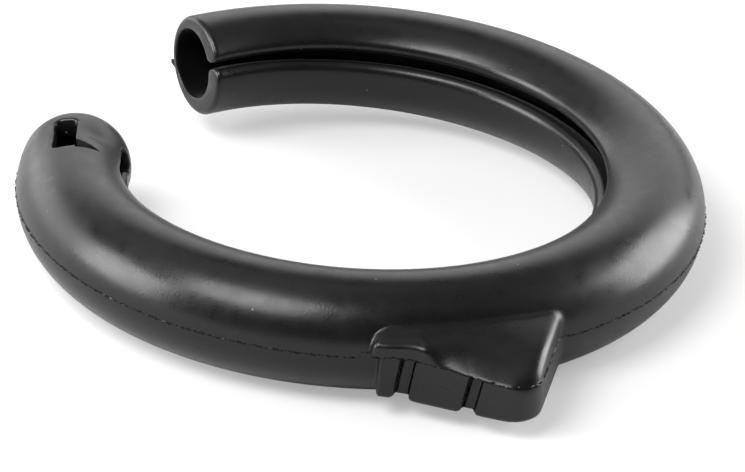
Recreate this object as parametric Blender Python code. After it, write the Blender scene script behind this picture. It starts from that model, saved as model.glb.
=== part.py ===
"""Coil spring end sleeve: a hollow rubber tube bent into an open ring.

The sleeve wraps the last turn of a coil spring. It is slit along its inner side so that it can be
pushed over the wire, open at one end, and closed at the other by a dome with windows in it. A
wedge-shaped lug on its outer side keeps it from turning in its seat. It is moulded in one piece.

Lengths are in metres and angles in degrees. A ring angle is measured about +Z from +X. A section
angle is measured round the tube's section, from the side away from the ring's centre, over the top.
"""

from math import asin, atan, atan2, ceil, cos, degrees, hypot, pi, radians, sin, sqrt, tan

import bmesh
import bpy
import numpy as np
from mathutils import Matrix, Vector

MM = 0.001

# The ring that the tube follows
ring_radius = 56.0 * MM
mouth_angle = 98.3
dome_angle = -215.1
rise_per_turn = 6.5 * MM

# How far the ring leans, about X and then about Y, when it lies on a floor
floor_lean_x = 0.296
floor_lean_y = 1.789

# The tube's section
tube_radius = 10.85 * MM
mouth_tube_radius = 10.25 * MM
dome_tube_radius = 10.8 * MM
end_taper_angle = 75.0
bore_radius = 7.1 * MM
bore_outward_shift = 1.3 * MM

# The slit along the inner side and its two rounded lips
slit_section_angle = 157.0
slit_width = 2.0 * MM
mouth_slit_width = 1.2 * MM
slit_widens_over = 35.0 * MM
lip_outer_round = 1.6 * MM
lip_end_round = 0.6 * MM
lip_grows_over = 12.0 * MM
lip_inner_round = 1.4 * MM
slit_end = 3.5 * MM

# The open end
mouth_cut_turn = -8.3
mouth_rim_round = 1.15 * MM
mouth_bore_round = 0.35 * MM
mouth_rim_length = 3.0 * MM
mouth_slant_sections = 4

# The windows in the closed end, cut straight into the tube along a section angle
window_length = 11.8 * MM
window_width = 4.6 * MM
window_corner_round = 1.3 * MM
window_start = 0.5 * MM
top_window_section_angle = 79.0
bottom_window_section_angle = -79.0
slit_window_section_angle = 160.4
slit_window_width = 4.8 * MM
slit_window_near_length = 10.0 * MM
slit_window_far_length = 4.6 * MM
window_cut_from = 3.0 * MM
window_cut_to = 14.0 * MM

# The sunken corner that runs from the top window's end towards the slit window, in three places:
# distance along the tube from the dome's foot, section angle, depth below the skin
corner_places = ((9.0 * MM, 90.0, 1.8 * MM), (13.2 * MM, 90.0, 1.8 * MM), (13.2 * MM, 118.0, 0.1 * MM))
corner_clearance = 1.5 * MM

# The lug, a wedge with a straight outer face and a stop at its thick end
lug_face_angle = -140.7
lug_face_distance = 61.3 * MM
lug_stop_angle = -43.0
lug_stop_distance = 47.8 * MM
lug_start_angle = -118.6
lug_nose_round = 6.0 * MM
lug_root_depth = 1.1 * MM
lug_end_depth = 0.9 * MM
lug_root_section_angle = 34.0
lug_bottom_round = 0.8 * MM

# The lug's section at ring angles from its start to its stop: how far out its crease lies, and how
# high the crease, the ledge's inner edge and the bottom are
lug_shape = (
    (-118.6, 11.2 * MM, 2.4 * MM, 5.4 * MM, -7.65 * MM),
    (-116.0, 11.4 * MM, 2.75 * MM, 5.7 * MM, -7.65 * MM),
    (-114.0, 12.3 * MM, 3.0 * MM, 5.8 * MM, -7.6 * MM),
    (-111.0, 14.1 * MM, 3.5 * MM, 6.05 * MM, -7.6 * MM),
    (-105.8, 14.3 * MM, 4.15 * MM, 6.2 * MM, -7.5 * MM),
    (-101.6, 14.5 * MM, 4.65 * MM, 6.3 * MM, -7.2 * MM),
    (-97.5, 15.3 * MM, 5.2 * MM, 6.3 * MM, -6.85 * MM),
    (-92.8, 16.3 * MM, 5.7 * MM, 6.1 * MM, -6.85 * MM),
    (-88.0, 17.2 * MM, 6.0 * MM, 5.9 * MM, -6.85 * MM),
)
ledge_inner_reach = 9.0 * MM
crease_round = 1.0 * MM

# The lug's skin stands proud of the tube's, and fades into it towards the top
lug_proud = 0.7 * MM
proud_full_section_angle = 12.0
proud_end_section_angle = 34.0

# The facet between crease and face: none at the thin start, full soon after
facet_foot_height = 0.7 * MM
facet_start_angle = -111.2
facet_full_angle = -110.0
facet_least_run = 0.5 * MM
facet_least_drop = 0.35 * MM
facet_steepest = 4.0

# The edge along the top of the face, wider along the stop
lug_edge_round = 0.8 * MM
lug_stop_edge_round = 2.2 * MM
stop_edge_start_angle = -101.0
stop_edge_full_angle = -93.0

# The two grooves in the lug's outer face: place along it at the facet's foot, and how far each one
# moves along it for every millimetre down
grooves = ((32.3 * MM, 0.08), (45.1 * MM, 0.2))
groove_width = 2.6 * MM
groove_depth = 1.2 * MM
groove_height = 14.0 * MM
groove_clearance = 4.0 * MM

# The rubber
rubber_colour = (0.018, 0.018, 0.019, 1.0)
rubber_roughness = 0.38

# How finely the curves are cut into flats
ring_step_angle = 5.0
outer_points = 32
bore_points = 22
round_points = 3
corner_points = 4
lug_root_points = 6
crease_points = 3
ledge_points = 3
dome_rings = 6
lug_step_angle = 2.5
nose_step_angle = 0.8
last_station_step = 0.05
smooth_below_angle = 35.0


def clear_scene():
    for thing in list(bpy.data.objects):
        bpy.data.objects.remove(thing, do_unlink=True)


def blend(low, high, share):
    """Goes from low to high as share goes from 0 to 1, with level ends."""
    share = min(max(share, 0.0), 1.0)
    return low + (high - low) * share * share * (3 - 2 * share)


def arc(centre, radius, start, end, count):
    """Points on a circle from one angle to another in radians, both ends included."""
    step = (end - start) / (count - 1)
    angles = [start + step * number for number in range(count)]
    return [(centre[0] + radius * cos(a), centre[1] + radius * sin(a)) for a in angles]


def tube_radius_at(ring_angle):
    """The tube is a little thinner towards both of its ends."""
    from_mouth = (mouth_angle - ring_angle) / end_taper_angle
    from_dome = (ring_angle - dome_angle) / end_taper_angle
    if from_mouth < from_dome:
        return blend(mouth_tube_radius, tube_radius, from_mouth)
    return blend(dome_tube_radius, tube_radius, from_dome)


def slit_width_at(ring_angle):
    run = radians(mouth_angle - ring_angle) * ring_radius
    return blend(mouth_slit_width, slit_width, run / slit_widens_over)


def lip_round_at(ring_angle):
    """The lips' outer rounding, tighter where the slit ends in its window."""
    run = radians(ring_angle - dome_angle) * ring_radius - slit_end
    return blend(lip_end_round, lip_outer_round, run / lip_grows_over)


def rise_at(ring_angle):
    return rise_per_turn * ring_angle / 360.0


def place(ring_angle, outward, up, ahead=0.0):
    """A point of the section at a ring angle, moved ahead along the tube if asked, in ring space."""
    turn = radians(ring_angle)
    radial = ring_radius + outward
    return Vector(
        (
            radial * cos(turn) - ahead * sin(turn),
            radial * sin(turn) + ahead * cos(turn),
            rise_at(ring_angle) + up,
        )
    )


def slit_section(tube, bore, half_slit, outer_round, inner_round):
    """The closed outline of the slit tube's section, as (outward, up) points.

    It runs round the outside from one lip to the other, round that lip, back round the bore, and
    round the first lip. Each lip's roundings are arcs tangent to the circle and to the slit's side.
    """
    turn = radians(slit_section_angle)
    bore_along = bore_outward_shift * cos(turn)
    bore_across = -bore_outward_shift * sin(turn)
    outline = []
    outer_ends = []
    lips = []
    bore_ends = []
    for side in (1, -1):
        # The outer rounding lies inside the tube's circle and touches the slit's side.
        across = half_slit + outer_round
        along = sqrt((tube - outer_round) ** 2 - across**2)
        outer_end = atan2(across, along)
        outer_arc = arc((along, across), outer_round, outer_end, -pi / 2, round_points + 1)
        # The inner rounding lies outside the bore's circle and touches the slit's side.
        inner_across = half_slit + inner_round
        gap = inner_across - side * bore_across
        inner_along = bore_along + sqrt((bore + inner_round) ** 2 - gap**2)
        bore_end = atan2(gap, inner_along - bore_along)
        inner_arc = arc((inner_along, inner_across), inner_round, -pi / 2, -pi + bore_end, round_points + 1)
        outer_ends.append(outer_end)
        bore_ends.append(bore_end)
        lips.append([(p, side * q) for p, q in outer_arc + inner_arc])
    outside = arc((0.0, 0.0), tube, outer_ends[0], 2 * pi - outer_ends[1], outer_points)
    inside = arc((bore_along, bore_across), bore, 2 * pi - bore_ends[1], bore_ends[0], bore_points)
    outline += outside[1:-1]
    outline += lips[1]
    outline += inside[1:-1]
    outline += lips[0][::-1]
    return [(p * cos(turn) - q * sin(turn), p * sin(turn) + q * cos(turn)) for p, q in outline]


def add_loop(mesh, points):
    return [mesh.verts.new(point) for point in points]


def join_loops(mesh, first, second):
    """Quads between two loops of the same number of points, which both close on themselves."""
    count = len(first)
    for number in range(count):
        after = (number + 1) % count
        mesh.faces.new((first[number], second[number], second[after], first[after]))


def object_from(mesh, name, helper=False):
    """Puts a bmesh, its faces turned outwards, into a new object in the scene."""
    bmesh.ops.recalc_face_normals(mesh, faces=mesh.faces)
    data = bpy.data.meshes.new(name)
    mesh.to_mesh(data)
    mesh.free()
    made = bpy.data.objects.new(name, data)
    bpy.context.scene.collection.objects.link(made)
    if helper:
        made.hide_render = True
        made.display_type = "WIRE"
    return made


def combine(target, tool, operation):
    step = target.modifiers.new(f"{operation.lower()} {tool.name}", "BOOLEAN")
    step.operation = operation
    step.solver = "EXACT"
    step.object = tool


def ring_sections():
    """Ring angle, section outline and slant of every loop from the mouth to the slit's end.

    A section's slant moves each of its points along the tube in proportion to how far out it lies.
    """
    cut = tan(radians(mouth_cut_turn))
    sections = []
    for number in range(round_points + 1):
        turn = pi / 2 * number / round_points
        rim_drop = mouth_rim_round * (1 - sin(turn))
        bore_drop = mouth_bore_round * (1 - sin(turn))
        back = mouth_rim_round * (1 - cos(turn))
        outline = slit_section(
            mouth_tube_radius - rim_drop,
            bore_radius + bore_drop,
            mouth_slit_width / 2 + bore_drop,
            lip_outer_round,
            lip_inner_round - bore_drop,
        )
        sections.append((mouth_angle - degrees(back / ring_radius), outline, cut))
    first = mouth_angle - degrees(mouth_rim_length / ring_radius)
    last = dome_angle + degrees(slit_end / ring_radius)
    count = ceil((first - last) / ring_step_angle)
    for number in range(count + 1):
        ring_angle = first + (last - first) * number / count
        outline = slit_section(
            tube_radius_at(ring_angle),
            bore_radius,
            slit_width_at(ring_angle) / 2,
            lip_round_at(ring_angle),
            lip_inner_round,
        )
        slant = cut * max(0.0, 1 - (number + 1) / mouth_slant_sections)
        sections.append((ring_angle, outline, slant))
    return sections


def close_dome(mesh, foot, turns, radius, shift):
    """A dome grown from its foot loop, ending in a fan round its tip."""
    below = foot
    for number in range(dome_rings):
        share = pi / 2 * number / dome_rings
        ring = radius * cos(share)
        ahead = -radius * sin(share)
        points = [place(dome_angle, shift + ring * cos(a), ring * sin(a), ahead) for a in turns]
        loop = add_loop(mesh, points)
        join_loops(mesh, below, loop)
        below = loop
    tip = mesh.verts.new(place(dome_angle, shift, 0.0, -radius))
    for number in range(len(below)):
        mesh.faces.new((below[number], tip, below[(number + 1) % len(below)]))


def make_tube():
    """The slit tube with its domed end, as one closed shell."""
    mesh = bmesh.new()
    sections = ring_sections()
    loops = []
    for ring_angle, outline, slant in sections:
        loops.append(add_loop(mesh, [place(ring_angle, x, z, x * slant) for x, z in outline]))
    mesh.faces.new(loops[0])
    for number in range(len(loops) - 1):
        join_loops(mesh, loops[number], loops[number + 1])

    # Past the slit's end, inside the slit window, the skin and the bore are whole circles.
    last_angle, outline, slant = sections[-1]
    last = loops[-1]
    lip_count = 2 * (round_points + 1)
    skin_count = outer_points - 2
    far_lip = range(skin_count, skin_count + lip_count)
    bore = range(far_lip[-1] + 1, len(last) - lip_count)
    near_lip = range(len(last) - lip_count, len(last))
    middle = radians(slit_section_angle)
    foot_radius = tube_radius_at(last_angle)
    skin_middle = (foot_radius * cos(middle), foot_radius * sin(middle))
    bore_middle = (bore_outward_shift + bore_radius * cos(middle), bore_radius * sin(middle))
    skin_vertex = mesh.verts.new(place(last_angle, *skin_middle))
    bore_vertex = mesh.verts.new(place(last_angle, *bore_middle))
    skin_order = [near_lip[-1], *range(skin_count), far_lip[0]]
    bore_order = [near_lip[0], *reversed(bore), far_lip[-1]]
    skin_turns = [middle] + [atan2(outline[n][1], outline[n][0]) for n in skin_order]
    bore_turns = [middle]
    bore_turns += [atan2(outline[n][1], outline[n][0] - bore_outward_shift) for n in bore_order]
    skin_foot = [skin_vertex] + [last[n] for n in skin_order]
    bore_foot = [bore_vertex] + [last[n] for n in bore_order]
    close_dome(mesh, skin_foot, skin_turns, dome_tube_radius, 0.0)
    close_dome(mesh, bore_foot, bore_turns, bore_radius, bore_outward_shift)
    near_side = [last[n] for n in reversed(near_lip)]
    far_side = [last[n] for n in reversed(far_lip)]
    mesh.faces.new([skin_vertex, *near_side, bore_vertex, *far_side])
    return object_from(mesh, "spring_sleeve")


def lug_reach_at(ring_angle):
    """How far the lug's side stands out from the tube's centre line.

    In plan the lug ends at its outer face, a straight line, at its stop, another straight line,
    and at the nose that rounds the corner between them.
    """
    to_face = radians(ring_angle - lug_face_angle)
    to_stop = radians(ring_angle - lug_stop_angle)
    face_hit = max(lug_face_distance / cos(to_face), ring_radius + tube_radius + lug_proud)
    stop_hit = lug_stop_distance / cos(to_stop)
    nose_x, nose_y = nose_centre()
    turn = radians(ring_angle)
    along = nose_x * cos(turn) + nose_y * sin(turn)
    inside = lug_nose_round**2 - (nose_x**2 + nose_y**2 - along**2)
    if inside > 0:
        nose_hit = along + sqrt(inside)
        lean = atan2(nose_hit * sin(turn) - nose_y, nose_hit * cos(turn) - nose_x)
        if lug_face_angle <= degrees(lean) <= lug_stop_angle:
            return nose_hit - ring_radius
    return min(face_hit, stop_hit) - ring_radius


def nose_centre():
    """The centre of the nose's rounding in plan, which lies one radius inside both faces."""
    face = radians(lug_face_angle)
    stop = radians(lug_stop_angle)
    face_inner = lug_face_distance - lug_nose_round
    stop_inner = lug_stop_distance - lug_nose_round
    across = sin(stop - face)
    x = (face_inner * sin(stop) - stop_inner * sin(face)) / across
    y = (stop_inner * cos(face) - face_inner * cos(stop)) / across
    return x, y


def lug_stations():
    """Ring angles of the lug's sections: closer together round its nose and along its stop."""
    nose_x, nose_y = nose_centre()
    face = radians(lug_face_angle)
    nose_start = degrees(atan2(nose_y + lug_nose_round * sin(face), nose_x + lug_nose_round * cos(face)))
    last = nose_start
    while lug_reach_at(last) > tube_radius - lug_end_depth:
        last += last_station_step
    stations = []
    for start, end, step in (
        (lug_start_angle, facet_start_angle, lug_step_angle),
        (facet_start_angle, facet_full_angle, lug_step_angle),
        (facet_full_angle, nose_start, lug_step_angle),
        (nose_start, last, nose_step_angle),
    ):
        count = ceil((end - start) / step)
        stations += [start + (end - start) * number / count for number in range(count)]
    return stations + [last]


def lug_shape_at(ring_angle):
    """Crease reach, crease height, inner edge height and bottom height at a ring angle."""
    angles = [row[0] for row in lug_shape]
    return [float(np.interp(ring_angle, angles, [row[n] for row in lug_shape])) for n in range(1, 5)]


def rounded_corner(before, corner, after, radius, count):
    """An arc in place of a corner, smaller than asked where the sides beside it are short."""
    corner = Vector(corner)
    back = Vector(before) - corner
    ahead = Vector(after) - corner
    half = back.angle(ahead) / 2
    tangent = min(radius / tan(half), back.length * 0.45, ahead.length * 0.45)
    centre = corner + (back.normalized() + ahead.normalized()).normalized() * tangent / cos(half)
    first = corner + back.normalized() * tangent - centre
    last = corner + ahead.normalized() * tangent - centre
    start = atan2(first.y, first.x)
    turn = (atan2(last.y, last.x) - start + pi) % (2 * pi) - pi
    return arc(centre, first.length, start, start + turn, count)


def above_skin(point):
    """A ledge point, moved out where it would lie below the lug's proud skin."""
    section_angle = degrees(atan2(point[1], point[0]))
    fade = (section_angle - proud_full_section_angle) / (proud_end_section_angle - proud_full_section_angle)
    proud = blend(lug_proud, 0.0, fade)
    reach = hypot(point[0], point[1])
    if proud < lug_proud / 8 or reach > tube_radius + proud:
        return point
    scale = (tube_radius + proud) / reach
    return point[0] * scale, point[1] * scale


def lug_section(ring_angle):
    """The lug's section: its root inside the tube's wall, then its bottom, face, facet and ledge."""
    crease_reach, crease_height, inner_height, bottom_height = lug_shape_at(ring_angle)
    reach = lug_reach_at(ring_angle)
    root = tube_radius - lug_root_depth
    root_start = radians(lug_root_section_angle)
    root_end = asin(bottom_height / root)
    root_arc = arc((0.0, 0.0), root, root_start, root_end, lug_root_points)
    bottom_centre = (reach - lug_bottom_round, bottom_height + lug_bottom_round)
    bottom = arc(bottom_centre, lug_bottom_round, -pi / 2, 0.0, round_points + 1)

    # The crease slides in along the ledge where the stop cuts the lug short
    crease = min(crease_reach, reach - facet_least_run)
    ledge_slope = (inner_height - crease_height) / (crease_reach - ledge_inner_reach)
    crease_top = inner_height - (crease - ledge_inner_reach) * ledge_slope
    facet_share = (ring_angle - facet_start_angle) / (facet_full_angle - facet_start_angle)
    foot_height = blend(crease_height - facet_least_drop, facet_foot_height, facet_share)
    face_reach = max(lug_face_distance / cos(radians(ring_angle - lug_face_angle)) - ring_radius, reach)
    facet_run = max(face_reach - crease_reach, facet_least_run)
    facet_slope = min((crease_height - foot_height) / facet_run, facet_steepest)
    foot = (reach, crease_top - (reach - crease) * facet_slope)

    edge_share = (ring_angle - stop_edge_start_angle) / (stop_edge_full_angle - stop_edge_start_angle)
    edge_round = blend(lug_edge_round, lug_stop_edge_round, edge_share)
    edge = rounded_corner(bottom[-1], foot, (crease, crease_top), edge_round, round_points + 1)
    inner = (ledge_inner_reach, inner_height)
    ledge = rounded_corner(edge[-1], (crease, crease_top), inner, crease_round, crease_points)
    start = ledge[-1]
    for number in range(1, ledge_points + 1):
        share = number / ledge_points
        ledge.append((start[0] + (inner[0] - start[0]) * share, start[1] + (inner[1] - start[1]) * share))
    return root_arc + bottom + edge + [above_skin(point) for point in ledge]


def make_lug():
    """The lug, lofted along the ring from its thin start to its stop."""
    mesh = bmesh.new()
    loops = []
    for ring_angle in lug_stations():
        loops.append(add_loop(mesh, [place(ring_angle, x, z) for x, z in lug_section(ring_angle)]))
    for number in range(len(loops) - 1):
        join_loops(mesh, loops[number], loops[number + 1])
    mesh.faces.new(loops[0])
    mesh.faces.new(loops[-1])
    return object_from(mesh, "lug", helper=True)


def make_sunken_corner():
    """A wedge that cuts the sunken corner: shallow at one place, deep at the others."""
    mesh = bmesh.new()
    low = []
    high = []
    for along, section_angle, depth in corner_places:
        ring_angle = dome_angle + degrees(along / ring_radius)
        turn = radians(section_angle)
        for loop, reach in ((low, dome_tube_radius - depth), (high, dome_tube_radius + corner_clearance)):
            loop.append(place(ring_angle, reach * cos(turn), reach * sin(turn)))
    low = add_loop(mesh, low)
    high = add_loop(mesh, high)
    join_loops(mesh, low, high)
    mesh.faces.new(low)
    mesh.faces.new(high)
    return object_from(mesh, "sunken corner", helper=True)


def window_outline(width, near_length, far_length):
    """A window's outline with round corners, whose two long sides may differ in length."""
    corners = (
        (window_start, -width / 2),
        (window_start + near_length, -width / 2),
        (window_start + far_length, width / 2),
        (window_start, width / 2),
    )
    outline = []
    for number, corner in enumerate(corners):
        after = corners[(number + 1) % len(corners)]
        outline += rounded_corner(corners[number - 1], corner, after, window_corner_round, corner_points)
    return outline


def make_prism(name, outline, section_angle, low, high):
    """A cutter near the closed end, standing along a section angle from one height to another.

    Its outline is given as (distance along the tube from the dome's foot, distance across).
    """
    turn = radians(section_angle)
    mesh = bmesh.new()
    loops = []
    for height in (low, high):
        points = []
        for along, across in outline:
            outward = height * cos(turn) - across * sin(turn)
            up = height * sin(turn) + across * cos(turn)
            points.append(place(dome_angle + degrees(along / ring_radius), outward, up))
        loops.append(add_loop(mesh, points))
    join_loops(mesh, loops[0], loops[1])
    mesh.faces.new(loops[0])
    mesh.faces.new(loops[1])
    return object_from(mesh, name, helper=True)


def make_groove(name, along, lean):
    """A box that stands in the lug's outer face, from the facet's foot to below the bottom."""
    face = radians(lug_face_angle)
    ring_angle = lug_face_angle + degrees(atan(along / lug_face_distance))
    top = rise_at(ring_angle) + facet_foot_height
    depth = groove_depth + groove_clearance
    out = lug_face_distance - groove_depth + depth / 2
    scale = Matrix.Diagonal((depth, groove_width, groove_height, 1.0))
    turn = Matrix.Rotation(-atan(lean), 4, "X")
    move = Matrix.Translation((out, along - lean * groove_height / 2, top - groove_height / 2))
    mesh = bmesh.new()
    bmesh.ops.create_cube(mesh, size=1.0, matrix=Matrix.Rotation(face, 4, "Z") @ move @ turn @ scale)
    return object_from(mesh, name, helper=True)


def settle(sleeve):
    """Leans every mesh as the ring lies on a floor, then sets the origin under its middle."""
    lean = Matrix.Rotation(radians(floor_lean_x), 4, "X") @ Matrix.Rotation(radians(floor_lean_y), 4, "Y")
    for thing in bpy.data.objects:
        thing.data.transform(lean)
    shape = sleeve.evaluated_get(bpy.context.evaluated_depsgraph_get())
    corners = [Vector(corner) for corner in shape.bound_box]
    low = Vector(min(corner[axis] for corner in corners) for axis in range(3))
    high = Vector(max(corner[axis] for corner in corners) for axis in range(3))
    middle = (low + high) / 2
    shift = Matrix.Translation((-middle.x, -middle.y, -low.z))
    for thing in bpy.data.objects:
        thing.data.transform(shift)


def rubber():
    material = bpy.data.materials.new("rubber")
    material.use_nodes = True
    shader = material.node_tree.nodes["Principled BSDF"]
    shader.inputs["Base Color"].default_value = rubber_colour
    shader.inputs["Roughness"].default_value = rubber_roughness
    return material


def main():
    clear_scene()
    sleeve = make_tube()
    combine(sleeve, make_lug(), "UNION")
    window = window_outline(window_width, window_length, window_length)
    slit_window = window_outline(slit_window_width, slit_window_near_length, slit_window_far_length)
    for name, outline, section_angle in (
        ("top window", window, top_window_section_angle),
        ("bottom window", window, bottom_window_section_angle),
        ("slit window", slit_window, slit_window_section_angle),
    ):
        cutter = make_prism(name, outline, section_angle, window_cut_from, window_cut_to)
        combine(sleeve, cutter, "DIFFERENCE")
    combine(sleeve, make_sunken_corner(), "DIFFERENCE")
    for number, (along, lean) in enumerate(grooves):
        combine(sleeve, make_groove(f"groove {number + 1}", along, lean), "DIFFERENCE")
    settle(sleeve)
    sleeve.data.materials.append(rubber())
    sleeve.data.shade_smooth()
    sleeve.data.set_sharp_from_angle(angle=radians(smooth_below_angle))


main()
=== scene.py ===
"""The looks of a coil spring end sleeve: its rubber skin, its moulding flash and a studio.

Shapes are worked out in millimetres round the ring's centre and are set into the frame at the end.
A ring angle is measured in degrees about the ring's axis from +X. A section angle is measured round
the tube's section, from the side away from the ring's centre, over the top.
"""

import bpy
import numpy as np
from mathutils import Matrix, Vector


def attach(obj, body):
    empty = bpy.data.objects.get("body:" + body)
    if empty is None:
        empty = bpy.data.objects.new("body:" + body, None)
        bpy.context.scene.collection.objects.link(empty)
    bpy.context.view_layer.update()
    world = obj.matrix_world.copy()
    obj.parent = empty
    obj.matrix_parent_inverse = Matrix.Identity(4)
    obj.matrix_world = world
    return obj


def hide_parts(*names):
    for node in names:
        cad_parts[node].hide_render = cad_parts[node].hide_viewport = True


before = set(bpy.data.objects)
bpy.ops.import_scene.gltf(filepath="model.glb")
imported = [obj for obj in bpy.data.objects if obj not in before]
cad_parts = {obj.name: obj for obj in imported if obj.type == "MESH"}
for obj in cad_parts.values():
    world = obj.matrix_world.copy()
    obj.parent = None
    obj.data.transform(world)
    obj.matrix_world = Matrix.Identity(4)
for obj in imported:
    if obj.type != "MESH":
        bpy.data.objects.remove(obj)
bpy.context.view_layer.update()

MM = 0.001
NODE = "spring_sleeve"

# The ring, as in the part's source
ring_radius = 56.0
mouth_angle = 98.3
dome_angle = -215.1
rise_per_turn = 6.5
floor_lean_x = 0.296
floor_lean_y = 1.789
ring_centre = (0.0229, 6.593, 13.0841)

# The tube, its bore and its slit
tube_radius = 10.85
mouth_tube_radius = 10.25
dome_tube_radius = 10.8
end_taper_angle = 75.0
bore_radius = 7.1
bore_outward_shift = 1.3
slit_section_angle = 157.0
slit_width = 2.0
mouth_slit_width = 1.2
slit_widens_over = 35.0
lip_outer_round = 1.6
lip_end_round = 0.6
lip_grows_over = 12.0
lip_inner_round = 1.4
slit_end = 3.5
mouth_cut_turn = -8.3
mouth_rim_round = 1.15
mouth_bore_round = 0.35

# The windows in the closed end: each has its section angle, its width and the length of each long side
window_start = 0.5
window_corner_round = 1.3
window_rim_round = 0.5
top_window = (79.0, 4.6, 11.8, 11.8)
bottom_window = (-79.0, 4.6, 11.8, 11.8)
slit_window = (160.4, 4.8, 10.0, 4.6)
window_corner_steps = 9

# On the dome the windows' rims are measured across at no less than this share of its radius
window_least_level = 0.4

# A window's cutter runs between these distances from the tube's centre line
window_cut = (3.0, 14.0)

# The sunken corner by the top window: distance from the dome's foot, section angle, depth
corner_places = ((9.0, 90.0, 1.8), (13.2, 90.0, 1.8), (13.2, 118.0, 0.1))
corner_clearance = 1.5

# The shallow dish in the strap between the windows: place along the tube, section angle, reach, depth
strap_dish = (5.5, 114.0, 2.6, 0.4)

# The lug
lug_face_angle = -140.7
lug_face_distance = 61.3
lug_face_draft = 0.1
lug_stop_angle = -43.0
lug_stop_distance = 47.7
lug_low_stop_distance = 48.0
lug_stop_draft = 0.1
lug_stop_draft_height = 7.0
parting_step_height = 0.3
lug_start_angle = -117.1
lug_high_start_angle = -118.4
lug_high_start_bend = 1.8
lug_high_start_limit = 1.2
lug_nose_round = 6.0
lug_bottom_round = 0.8
lug_edge_round = 0.8
lug_foot_edge_round = 0.25
foot_edge_angles = (-112.0, -107.5)
lug_stop_edge_round = 2.2
lug_stop_edge_reach = 5.0
lug_start_round = 0.6
lug_fillet = 0.6
lug_end_angle = -88.0

# Where the lug is looked for: its ring angles, the least cosine of its section angles, and the start
# of each ray inside the tube, its end and how often the stretch between them is halved
lug_search_angles = (-122.0, -80.0)
lug_search_cosine = 0.25
ray_start_depth = 0.5
ray_end = 34.0
ray_halvings = 34

# The lug's section at ring angles: how far out its crease lies, and the heights of the crease, the
# ledge's inner edge, the parting line on the face and the bottom
lug_shape = np.array(
    (
        (-118.6, 13.3, 4.1, 5.3, 1.2, -7.0),
        (-116.0, 13.7, 4.1, 5.4, 1.6, -7.25),
        (-114.0, 14.1, 4.05, 5.5, 1.6, -7.5),
        (-111.0, 14.7, 4.1, 5.7, 1.2, -7.85),
        (-107.0, 14.4, 4.3, 5.7, 1.0, -7.75),
        (-105.0, 14.3, 4.5, 5.7, 0.65, -7.65),
        (-101.6, 14.3, 4.8, 5.7, 0.35, -7.4),
        (-97.5, 14.4, 5.05, 5.75, 0.3, -7.05),
        (-92.8, 14.6, 4.95, 5.6, 0.3, -7.05),
        (-88.0, 15.6, 4.8, 5.4, 0.3, -7.05),
    )
)
lug_start_bulge = 2.3
lug_bulge_foot_angle = -111.0
lug_bulge_full_angle = -118.5
ledge_inner_reach = 9.0
crease_round = 1.0
lug_proud = 0.75
lug_sunk = 1.2
proud_full_section_angle = 14.0
proud_end_section_angle = 46.0
facet_start_angle = -111.2
facet_full_angle = -108.6
facet_least_run = 0.5
facet_least_drop = 0.35
facet_steepest = 4.0

# The lug's grooves: place along its face at the facet's foot, and how far they lean for each mm down
grooves = ((32.3, 0.15), (45.1, 0.2))
groove_width = 2.6
groove_depth = 1.2
groove_wall = 0.25
groove_slot_depth = 0.45
groove_slot_width = 0.18
groove_corner_round = 0.9
groove_top_gap = 0.1
groove_top_fade = 0.3
groove_least_depth = 0.001

# How finely the skin is cut into flats
skin_rows = 150
bore_rows = 34
lip_rows = 5
closing_rows = 8
rim_columns = 7
straight_columns = 14
dome_columns = 26

# The stretches of the tube between the mouth's rim and the slit's end: the ring angle where each one
# starts, and the step between its columns. They are close together on the lug and at the closed end.
rim_lead = 1.6
column_stretches = (
    (92.0, 1.35),
    (-82.0, 0.4),
    (-102.8, 0.09),
    (-106.2, 0.35),
    (-110.0, 0.15),
    (-111.2, 0.1),
    (-115.2, 0.25),
    (-116.2, 0.11),
    (-119.4, 0.5),
    (-123.0, 1.35),
    (-199.0, 0.3),
)
first_column_step = 0.5
mouth_slant_angle = 14.0

# Where the skin's rows crowd: first and last section angle, and how much denser they are there
rows_clear_of_slit = 15.0
lug_row_crowds = ((316.0, 396.0, 4.5),)
end_row_crowds = ((172.0, 196.0, 3.0), (258.0, 302.0, 1.5), (420.0, 460.0, 3.0), (492.0, 502.0, 3.0))
crowd_edge = 1.5
crowd_samples = 2000

# How far before the lug and the dome the rows start to crowd, and the angle that this takes
lug_rows_lead = 12.0
lug_rows_change = 10.0
end_rows_lead = 22.0
end_rows_change = 8.0

# The photograph's camera, round the ring's centre, turned as the ring is turned in the frame
camera_turn = -32.0
camera_height_angle = 27.23
camera_roll = 4.59
camera_distance = 11.62 * ring_radius
camera_look = (0.052 * ring_radius, -0.398 * ring_radius, -0.58)
image_width = 745
focal_pixels = 3450
sensor_width = 36.0
camera_clip = (0.01, 20.0)

# The rubber and the dust on it
rubber_colour = (0.005, 0.005, 0.0053, 1.0)
dust_colour = (0.3, 0.3, 0.3, 1.0)
dust_scale = 420.0
dust_size = 0.055
dust_share = 0.06
fine_scale = 2600.0
broad_scale = 60.0
smear_scale = 330.0
least_roughness = 0.08
broad_roughness = 0.16
fine_roughness = 0.1
smear_roughness = 0.2
bump_strength = 0.26
bump_depth = 0.07 * MM
sharp_edge_angle = 50.0

# The flash's colours: painted shade, a colour blacker than the skin that stands for the shadow along the
# thin fin, and painted glints, pale bits that stand for light caught on its nicks
flash_painted_shade_colour = (0.002, 0.002, 0.002, 1.0)
flash_painted_glint_colour = (0.12, 0.12, 0.12, 1.0)
# Size of the noise for the painted glints, and the level above which it paints them
flash_glint_scale = 900.0
flash_glint_level = 0.6

# The parting line: how far past the lug's ends its height follows the lug, how its height fades to
# the tube's middle there, and how often its place is worked out again
parting_past_end = 6.0
parting_before_start = 1.5
parting_fade_start = 5.0
parting_fade_angle = 4.0
parting_rounds = 6

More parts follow.
